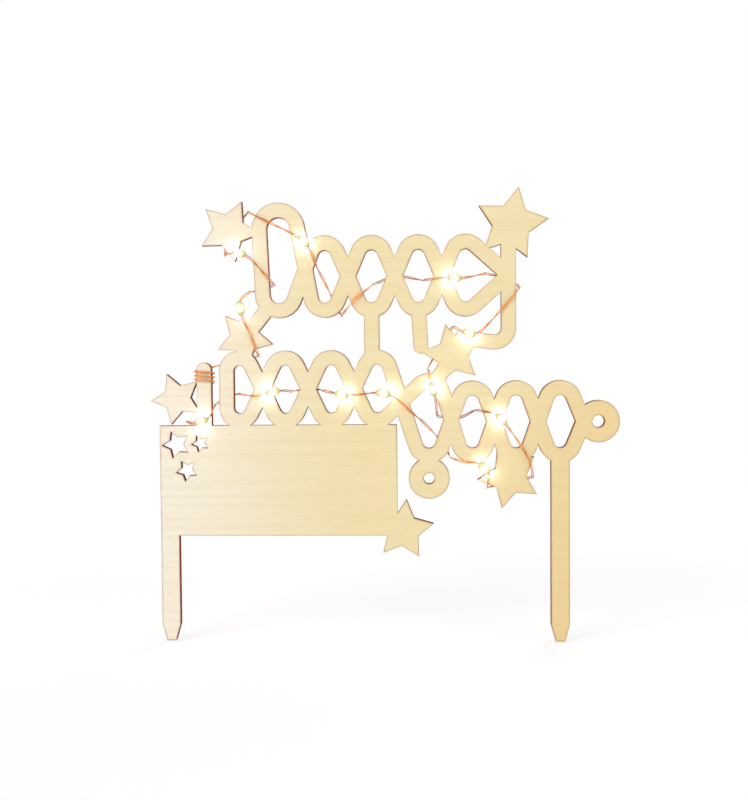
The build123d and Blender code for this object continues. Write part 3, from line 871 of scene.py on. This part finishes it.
def make_pad():
    """Foam tape between the plaque and the box, with softly rounded edges."""
    foam = plastic_material("foam_white", "F4F3EF", "E4E2DB", (0.79, 0.91), 1400, foam_relief)
    pad = softened("foam_tape", "foam_pad", foam, "topper", "foam", tape_rounding)


def make_glue():
    """Blob of hot glue about the wire, just inside the box."""
    middle = (glue_low + glue_high) / 2
    reach = (glue_high - glue_low) / 2
    shape = bmesh.new()
    bmesh.ops.create_icosphere(shape, subdivisions=glue_subdivisions, radius=1.0)
    for vert in shape.verts:
        wave = 1 + sum(size * math.sin(np.dot(rates, vert.co)) for size, rates in glue_waves)
        squared = Vector(math.copysign(abs(c) ** glue_roundness, c) for c in vert.co)
        vert.co = (middle + squared * wave * glue_fill * reach) * MM
    blob = make_object("glue_blob", finished_mesh("glue_blob", shape), glue_material())
    dress(blob, "topper", "hot_glue", "glue_plug")


# Studio
def seen_directly(tree):
    """One for rays that should see plain white: from the camera, and off or through glossy things."""
    path = add(tree, "LightPath")
    seen = math_node(tree, "MAXIMUM", path.outputs["Is Camera Ray"], path.outputs["Is Glossy Ray"])
    return math_node(tree, "MAXIMUM", seen, path.outputs["Is Transmission Ray"])


def make_world():
    """White surroundings that light the object softly."""
    world = bpy.data.worlds.new("studio")
    bpy.context.scene.world = world
    tree = empty_tree(world)
    level = remap(tree, seen_directly(tree), 0.0, 1.0, sky_level, 1.0)
    background = add(tree, "Background", {"Color": WHITE, "Strength": level})
    add(tree, "OutputWorld", {0: background.outputs[0]})


def floor_material():
    """Matte white that shines a little for rays that see it directly, and fully far from the object."""
    material = bpy.data.materials.new("studio_floor")
    tree = empty_tree(material)
    matte = add(tree, "BsdfDiffuse", {"Color": floor_grey})
    distance = add(tree, "VectorMath", {0: own_place(tree)}, operation="LENGTH").outputs["Value"]
    far = remap(tree, distance, *metres(floor_fade))
    level = math_node(tree, "MULTIPLY_ADD", far, 1.0 - floor_white, floor_white)
    white = add(tree, "Emission", {"Color": WHITE, "Strength": level})
    own_light = math_node(tree, "MULTIPLY_ADD", far, 1.0 - floor_share, floor_share)
    share = math_node(tree, "MULTIPLY", seen_directly(tree), own_light)
    both = add(tree, "MixShader", {0: share, 1: matte.outputs[0], 2: white.outputs[0]})
    add(tree, "OutputMaterial", {"Surface": both.outputs[0]})
    return material


def make_floor():
    """Pale floor under the spikes, which keeps a faint shadow."""
    shape = bmesh.new()
    bmesh.ops.create_circle(shape, cap_ends=True, segments=floor_sides, radius=floor_radius * MM)
    floor = make_object("floor", finished_mesh("floor", shape), floor_material())
    floor.location.z = cad_box[0][2] - floor_drop * MM


def make_light(name, place, size, power, color):
    """Soft panel aimed at the sign."""
    light = bpy.data.lights.new(name, "AREA")
    light.size = size * MM
    light.energy = power
    light.color = color
    lamp = add_object(name, light)
    lamp.location = metres(place)
    aim = Vector(camera_target) * MM - lamp.location
    lamp.rotation_euler = aim.to_track_quat("-Z", "Y").to_euler()


def make_camera():
    """Camera of the photograph."""
    data = bpy.data.cameras.new("camera")
    data.sensor_fit = "VERTICAL"
    data.sensor_height = camera_sensor
    data.lens = camera_lens
    data.clip_start = camera_clip_start * MM
    camera = add_object("camera", data)
    camera.location = (Vector(camera_target) + Vector(camera_offset)) * MM
    facing = (-Vector(camera_offset)).to_track_quat("-Z", "Y") @ Quaternion((0, 0, 1), camera_roll)
    camera.rotation_euler = facing.to_euler()
    bpy.context.scene.camera = camera


bpy.context.scene.view_settings.view_transform = "Standard"
make_camera()
make_world()
make_floor()
for panel in panels:
    make_light(*panel)

sign_loops = outline_loops(nodes["plywood_sign"].data)
make_sign(sign_loops)
woven_points, lamps = wire_weave()
make_strands(wire_exit() + woven_points + wire_winding())
resin = resin_material()
phosphor = chip_material()
for number, (middle, along) in enumerate(lamps, 1):
    make_drop(number, middle, along, resin, sign_loops)
    paint(f"led_chip_{number:02d}", phosphor)
make_box()
make_pad()
make_glue()

bpy.context.view_layer.update()
